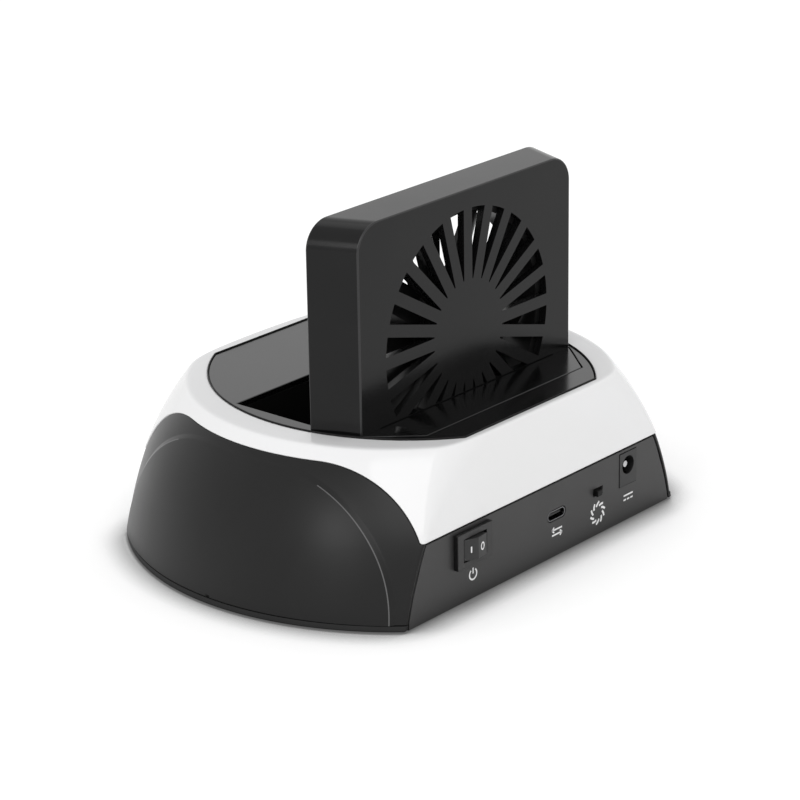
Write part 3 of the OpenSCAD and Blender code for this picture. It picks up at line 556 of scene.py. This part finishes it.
def capRows(leaf, border):
    # Distances from the centre for every ray: the leaf, the ramp at its edge, the strip outside it
    # and the rolled border
    ramp = cap["rampReach"] * np.linspace(-1, 1, cap["rampRows"])
    fromCentre = np.linspace(cap["firstRow"], 1, cap["leafRows"])
    inside = (leaf[:, None] + ramp[0]) * fromCentre[None, :]
    across = leaf[:, None] + ramp[None, 1:]
    near = cap["edge"] * edgeSteps[::-1]
    between = np.linspace(0, 1, cap["outsideRows"] + 2)[1:-1]
    start = across[:, -1:]
    stop = border[:, None] - near[0]
    outside = start + (stop - start) * between[None, :]
    rim = border[:, None] - near[None, :]
    return np.hstack([inside, across, outside, rim])


def makeEndCap(side, name, node):
    turn = np.linspace(0, np.pi, cap["around"])
    border = capReach(turn)
    leaf = np.minimum(leafReach(turn), border - cap["leafMargin"])
    reach = capRows(leaf, border)
    # The step falls in a straight ramp over the leaf's edge, and both ends of the ramp are rounded
    past = reach - leaf[:, None]
    half, soft = cap["leafEdge"], cap["leafRound"]
    bend = np.sqrt((past + half) ** 2 + soft ** 2) - np.sqrt((past - half) ** 2 + soft ** 2)
    # The leaf stands highest at its two ends and fades towards the middle of its foot
    share = np.clip(reach / leaf[:, None], 0.0, 1.0) ** 2
    aside = np.abs(np.cos(turn))[:, None]
    step = cap["leafStep"][0] + cap["leafStep"][1] * aside ** cap["stepPower"] * share
    raised = step * (0.5 - bend / (4 * half))
    sunk = rolledEdge(border[:, None] - reach, cap["edge"])
    grown = raised - sunk - cap["inset"]
    y = cap["centre"][0] + reach * np.cos(turn)[:, None]
    z = cap["centre"][1] + reach * np.sin(turn)[:, None]

    def onDome(grow):
        # The larger of the dome and its flared skirt at this height, blended where they meet
        upper = (dome["radius"] + grow) ** 2 - (z + dome["drop"]) ** 2
        lower = (skirt["radius"] + grow) ** 2 - (z + skirt["drop"]) ** 2
        squared = -smoothMin(-upper, -lower, skirt["blend"]) - (y - dome["middleY"]) ** 2
        return np.stack([side * np.sqrt(np.maximum(squared, 0.0)), y, z], axis=-1)

    outer = onDome(grown)
    # The wall is thinner in a lip along the two panels
    toPanel = cap["halfDepth"] - np.abs(y - cap["centre"][0])
    blend = np.clip((toPanel - cap["lipDepth"]) / cap["lipRamp"], 0, 1)
    wall = cap["lip"] + (cap["thick"] - cap["lip"]) * blend
    inner = onDome(-cap["inset"] - wall)
    points = np.concatenate([outer, inner[:, ::-1]], axis=1)
    mesh = gridMesh(name, points, wrapV=True, flip=side > 0)
    addPiece(name, mesh, finish["capSatin"], stands=(node,))
    # A thin light line is painted along the leaf's ridge, where it is highest: a painted highlight
    ridgeHighlight = (np.abs(past + half) < cap["highlightHalf"]) & (aside > cap["highlightFrom"])
    look = np.zeros((len(turn) - 1, points.shape[1]), dtype=np.int32)
    look[:, :reach.shape[1]] = ridgeHighlight[:-1]
    mesh.materials.append(finish["capRidgeHighlight"])
    mesh.polygons.foreach_set("material_index", look.ravel())


makeEndCap(1, "rightCap", "right_end_cap")
makeEndCap(-1, "leftCap", "left_end_cap")
print("end caps made")


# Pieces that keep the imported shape, with rounded edges

edgeTest = {
    "fanAxisZ": 71.3,
    "grilleRadius": 41.0,
    "towerFoot": 51.8,
    "deckTop": 51.2,
    "panelFace": 60.3,
    "trayFoot": 0.7,
    "trayRim": 60.0,
}


def offGrille(spot):
    fromAxis = math.hypot(spot.x, spot.z - edgeTest["fanAxisZ"])
    return fromAxis > edgeTest["grilleRadius"] and spot.z > edgeTest["towerFoot"]


def onTop(spot):
    return spot.z > edgeTest["deckTop"]


def outerFace(spot):
    return spot.y > edgeTest["panelFace"]


def underside(spot):
    fromMiddle = math.hypot(spot.x, spot.y - dome["middleY"])
    return spot.z < edgeTest["trayFoot"] and fromMiddle > edgeTest["trayRim"]


edged = {
    "towerHousing": {"node": "tower_housing", "look": "towerSatin", "edgeHighlightLook": "towerEdgeHighlight",
                     "width": 0.45, "slot": "tower", "picks": offGrille},
    "towerCover": {"node": "tower_front_cover", "look": "towerSatin", "edgeHighlightLook": "towerEdgeHighlight",
                   "width": 0.25, "slot": "tower", "picks": offGrille},
    "deckPlate": {"node": "deck", "look": "deckGloss", "width": 0.3, "slot": "deck", "picks": onTop},
    "fanPlate": {"node": "fan_plate", "look": "deckGloss", "width": 0.25, "slot": "deck", "picks": onTop},
    "driveWell": {"node": "drive_well", "look": "wellMatte", "width": 0.2, "slot": "well"},
    "rearPanel": {"node": "rear_panel", "look": "panelMatte", "width": 0.15, "slot": "panel",
                  "picks": outerFace},
    "frontPanel": {"node": "front_panel", "look": "panelMatte", "width": 0.15, "slot": "panel"},
    "bottomTray": {"node": "bottom_tray", "look": "trayMatte", "width": 0.5, "slot": "tray",
                   "picks": underside},
    "switchFlange": {"node": "switch_housing", "look": "flangeSatin", "width": 0.25, "slot": "connector",
                     "picks": outerFace},
    "inletBody": {"node": "dc_jack_body", "look": "partBlack", "width": 0.12, "slot": "connector",
                  "picks": outerFace},
    "rockerCap": {"node": "power_rocker", "look": "rockerSatin", "width": 0.3, "slot": "connector",
                  "body": "rocker"},
    "fanSwitchNub": {"node": "fan_switch_slider", "look": "nubBlack", "width": 0.2, "slot": "connector",
                     "body": "fan_switch"},
}
for name, spec in edged.items():
    edgedCopy(name, spec)
print("edged pieces made:", len(edged))

keptLooks = {
    "rubber_feet": "footRubber", "fan_frame": "fanPlastic", "fan_bearing": "goldPlate",
    "fan_stator": "castFerrite", "fan_coils": "copperWire", "fan_circuit": "boardGreen",
    "fan_rotor": "fanPlastic", "fan_magnet": "castFerrite", "fan_shaft": "platedSteel",
    "fan_screws": "platedSteel", "main_board": "boardGreen", "board_parts": "partBlack",
    "sata_connector": "partBlack", "sata_contacts": "goldPlate", "usb_c_shell": "darkSteel",
    "usb_c_tongue": "partBlack", "dc_jack_pin": "platedSteel", "dc_jack_contact": "goldPlate",
    "switch_terminals": "goldPlate", "slide_switch_body": "platedSteel", "indicator_lamp": "lampClear",
    "light_pipe": "lampClear", "board_screws": "platedSteel", "shell_screws": "platedSteel",
}
for nodeName, look in keptLooks.items():
    nodes[nodeName].data.materials.clear()
    nodes[nodeName].data.materials.append(finish[look])
print("kept nodes finished:", len(keptLooks))


# Printed marks: plain signs that stand a hair proud of the rear panel and the rocker

marks = {
    "face": 60.5,
    "proud": 0.04,
    "ink": 0.03,
    "rocker": {"pivot": (36.8, 59.3, 18.6), "tilt": -9.0, "half": 4.65, "crown": 4.8, "shoulder": 3.4,
               "at": 2.3, "radius": (0.75, 1.15), "bar": 1.0, "steps": 49, "line": 0.42},
    "power": {"x": 36.0, "z": 8.6, "radius": 1.75, "gap": 36.0, "barFrom": 0.2, "barPast": 0.35,
              "line": 0.55},
    "data": {"x": -6.3, "z": 8.8, "length": 5.2, "apart": 1.7, "head": 1.1, "barbSlope": 0.8,
             "line": 0.55},
    "fan": {"x": -27.8, "z": 8.1, "radius": 3.1, "strokes": 10, "reach": 1.5, "sweep": 30.0, "steps": 8,
            "line": 0.75},
    "direct": {"x": -44.4, "z": 8.6, "length": 5.0, "apart": 1.5, "dashes": 3, "dashPitch": 0.37,
               "dash": 0.26, "line": 0.55},
}


def ribbon(path, width):
    # A flat strip along a path: each point is pushed half the width to either side of its direction
    along = np.gradient(path, axis=0)
    along = along / np.linalg.norm(along, axis=1, keepdims=True)
    across = np.stack([-along[:, 1], along[:, 0]], axis=-1) * width / 2
    return np.stack([path + across, path - across], axis=1)


def line(x0, z0, x1, z1, steps=2):
    share = np.linspace(0, 1, steps)[:, None]
    return np.array([[x0, z0]]) * (1 - share) + np.array([[x1, z1]]) * share


def arc(x, z, radius, start, stop, steps=40):
    turn = np.radians(np.linspace(start, stop, steps))
    return np.stack([x + radius * np.cos(turn), z + radius * np.sin(turn)], axis=-1)


def printMarks(name, strips, place, body="base"):
    # Strips drawn in X and Z are laid on a face by the given function, then joined in one mesh
    corners, quads, start = [], [], 0
    for strip in strips:
        count = len(strip)
        index = start + np.arange(count * 2).reshape(count, 2)
        quads.append(np.stack([index[:-1, 0], index[1:, 0], index[1:, 1], index[:-1, 1]], axis=-1))
        corners.append(strip.reshape(-1, 2))
        start += count * 2
    flat = np.concatenate(corners)
    mesh = bpy.data.meshes.new(name)
    mesh.from_pydata((place(flat[:, 0], flat[:, 1]) * mm).tolist(), [], np.concatenate(quads).tolist())
    mesh.update()
    piece = addPiece(name, mesh, finish["markWhite"], body)
    sheet = piece.modifiers.new("inkDepth", "SOLIDIFY")
    sheet.thickness = marks["ink"] * mm
    sheet.offset = 0.0


def onPanel(x, z):
    return np.stack([x, np.full_like(x, marks["face"] + marks["proud"]), z], axis=-1)


def onRocker(u, z):
    # Either half of the rocker is a flat slope from the crown to a shoulder, turned by the tilt
    spec = marks["rocker"]
    slope = (spec["shoulder"] - spec["crown"]) * np.abs(u) / spec["half"]
    out = spec["crown"] + slope + marks["proud"]
    turn = math.radians(spec["tilt"])
    x = u * math.cos(turn) - out * math.sin(turn)
    y = u * math.sin(turn) + out * math.cos(turn)
    return np.stack([x, y, z], axis=-1) + np.array(spec["pivot"])


def markRocker(spec):
    turn = np.linspace(0, 2 * np.pi, spec["steps"])
    across, up = spec["radius"]
    ring = np.stack([across * np.cos(turn) - spec["at"], up * np.sin(turn)], axis=-1)
    bar = line(spec["at"], -spec["bar"], spec["at"], spec["bar"])
    strips = [ribbon(ring, spec["line"]), ribbon(bar, spec["line"])]
    printMarks("rockerMarks", strips, onRocker, "rocker")


def markPower(spec):
    # A ring with a gap at its top, and an upright bar in the gap
    ring = arc(spec["x"], spec["z"], spec["radius"], 90 + spec["gap"], 450 - spec["gap"])
    top = spec["z"] + spec["radius"] + spec["barPast"]
    bar = line(spec["x"], spec["z"] + spec["barFrom"], spec["x"], top)
    printMarks("powerSign", [ribbon(ring, spec["line"]), ribbon(bar, spec["line"])], onPanel)


def markData(spec):
    # Two level arrows that point opposite ways
    strips = []
    for way in (1, -1):
        level = spec["z"] + way * spec["apart"] / 2
        tail = spec["x"] - way * spec["length"] / 2
        tip = spec["x"] + way * spec["length"] / 2
        strips.append(ribbon(line(tail, level, tip, level), spec["line"]))
        for barb in (1, -1):
            end = level + barb * spec["head"] * spec["barbSlope"]
            strips.append(ribbon(line(tip, level, tip - way * spec["head"], end), spec["line"]))
    printMarks("dataSign", strips, onPanel)


def markFan(spec):
    # A ring of short strokes that wind outwards
    share = np.linspace(0, 1, spec["steps"])
    reach = spec["radius"] + spec["reach"] * (share - 0.5)
    strips = []
    for k in range(spec["strokes"]):
        turn = np.radians(360.0 * k / spec["strokes"] + spec["sweep"] * share)
        path = np.stack([spec["x"] + reach * np.cos(turn), spec["z"] + reach * np.sin(turn)], axis=-1)
        strips.append(ribbon(path, spec["line"]))
    printMarks("fanSign", strips, onPanel)


def markDirect(spec):
    # The sign for direct current: a long line over a row of short ones
    start = spec["x"] - spec["length"] / 2
    level = spec["z"] + spec["apart"] / 2
    strips = [ribbon(line(start, level, start + spec["length"], level), spec["line"])]
    level = spec["z"] - spec["apart"] / 2
    for k in range(spec["dashes"]):
        first = start + spec["length"] * (spec["dashPitch"] * k)
        last = first + spec["length"] * spec["dash"]
        strips.append(ribbon(line(first, level, last, level), spec["line"]))
    printMarks("directSign", strips, onPanel)


markRocker(marks["rocker"])
markPower(marks["power"])
markData(marks["data"])
markFan(marks["fan"])
markDirect(marks["direct"])
print("marks printed")


# Stage: pale floor with a painted shadow near the object, white surroundings and soft lamps

stageLook = {
    "floorSize": 12.0,
    "floorColour": 0.95,
    "floorGlow": 0.1,
    "floorRough": 0.9,
    "floorSpecular": 0.1,
    "contactReach": 0.014,
    "contactRange": (0.5, 0.92),
    "paintedShadowTone": 0.12,
    "contactSamples": 16,
    "ambient": 0.92,
    "mirrored": 0.95,
    "lampsAim": (0, 0, 0.05),
}
lamps = {
    "keyLamp": {"place": (1.0, 1.0, 1.1), "size": 1.0, "watts": 5.0},
    "topLamp": {"place": (-0.3, -0.5, 1.7), "size": 0.9, "watts": 1.5},
    "sideLamp": {"place": (1.45, 0.27, 0.62), "size": 0.5, "watts": 2.0},
}


def makeFloor():
    half = stageLook["floorSize"] / 2 / mm
    spots = np.array([-half, half])
    points = np.stack(np.broadcast_arrays(spots[:, None], spots[None, :], 0.0), axis=-1)
    floor = bpy.data.objects.new("floor", gridMesh("floor", points))
    look = bpy.data.materials.new("paleFloor")
    look.use_nodes = True
    shader = look.node_tree.nodes["Principled BSDF"]
    shader.inputs["Roughness"].default_value = stageLook["floorRough"]
    shader.inputs["Specular IOR Level"].default_value = stageLook["floorSpecular"]
    # Painted shadow: where the object stands close, the floor's colour is darkened, as in the soft shadow
    # of a lit table
    tree = look.node_tree
    nearby = tree.nodes.new("ShaderNodeAmbientOcclusion")
    nearby.samples = stageLook["contactSamples"]
    nearby.inputs["Distance"].default_value = stageLook["contactReach"]
    paintedShadow = tree.nodes.new("ShaderNodeMapRange")
    paintedShadow.inputs["From Min"].default_value = stageLook["contactRange"][0]
    paintedShadow.inputs["From Max"].default_value = stageLook["contactRange"][1]
    paintedShadow.inputs["To Min"].default_value = stageLook["paintedShadowTone"]
    paintedShadow.inputs["To Max"].default_value = stageLook["floorColour"]
    tree.links.new(nearby.outputs["AO"], paintedShadow.inputs["Value"])
    tree.links.new(paintedShadow.outputs["Result"], shader.inputs["Base Color"])
    # The camera sees the open floor as white
    shader.inputs["Emission Color"].default_value = (1, 1, 1, 1)
    path = tree.nodes.new("ShaderNodeLightPath")
    glow = tree.nodes.new("ShaderNodeMath")
    glow.operation = "MULTIPLY"
    glow.inputs[1].default_value = stageLook["floorGlow"]
    tree.links.new(path.outputs["Is Camera Ray"], glow.inputs[0])
    tree.links.new(glow.outputs[0], shader.inputs["Emission Strength"])
    floor.data.materials.append(look)
    bpy.context.scene.collection.objects.link(floor)


def makeSurroundings():
    world = bpy.data.worlds.new("whiteRoom")
    world.use_nodes = True
    tree = world.node_tree
    light = tree.nodes["Background"]
    light.inputs["Color"].default_value = (1, 1, 1, 1)
    # The room is white to the camera, and a little dimmer as soft light and in mirrored rays
    path = tree.nodes.new("ShaderNodeLightPath")
    mirror = tree.nodes.new("ShaderNodeMapRange")
    mirror.inputs["To Min"].default_value = stageLook["ambient"]
    mirror.inputs["To Max"].default_value = stageLook["mirrored"]
    tree.links.new(path.outputs["Is Glossy Ray"], mirror.inputs["Value"])
    seen = tree.nodes.new("ShaderNodeMath")
    seen.operation = "MAXIMUM"
    tree.links.new(path.outputs["Is Camera Ray"], seen.inputs[0])
    tree.links.new(path.outputs["Is Transmission Ray"], seen.inputs[1])
    level = tree.nodes.new("ShaderNodeMath")
    level.operation = "MAXIMUM"
    tree.links.new(mirror.outputs["Result"], level.inputs[0])
    tree.links.new(seen.outputs[0], level.inputs[1])
    tree.links.new(level.outputs[0], light.inputs["Strength"])
    bpy.context.scene.world = world


def makeLamps():
    middle = Vector(stageLook["lampsAim"])
    for name, spec in lamps.items():
        data = bpy.data.lights.new(name, "AREA")
        data.size = spec["size"]
        data.energy = spec["watts"]
        lamp = bpy.data.objects.new(name, data)
        lamp.location = spec["place"]
        lamp.rotation_euler = (middle - lamp.location).to_track_quat("-Z", "Y").to_euler()
        bpy.context.scene.collection.objects.link(lamp)


makeFloor()
makeSurroundings()
makeLamps()
bpy.context.scene.view_settings.view_transform = "Standard"
print("stage and lamps set")
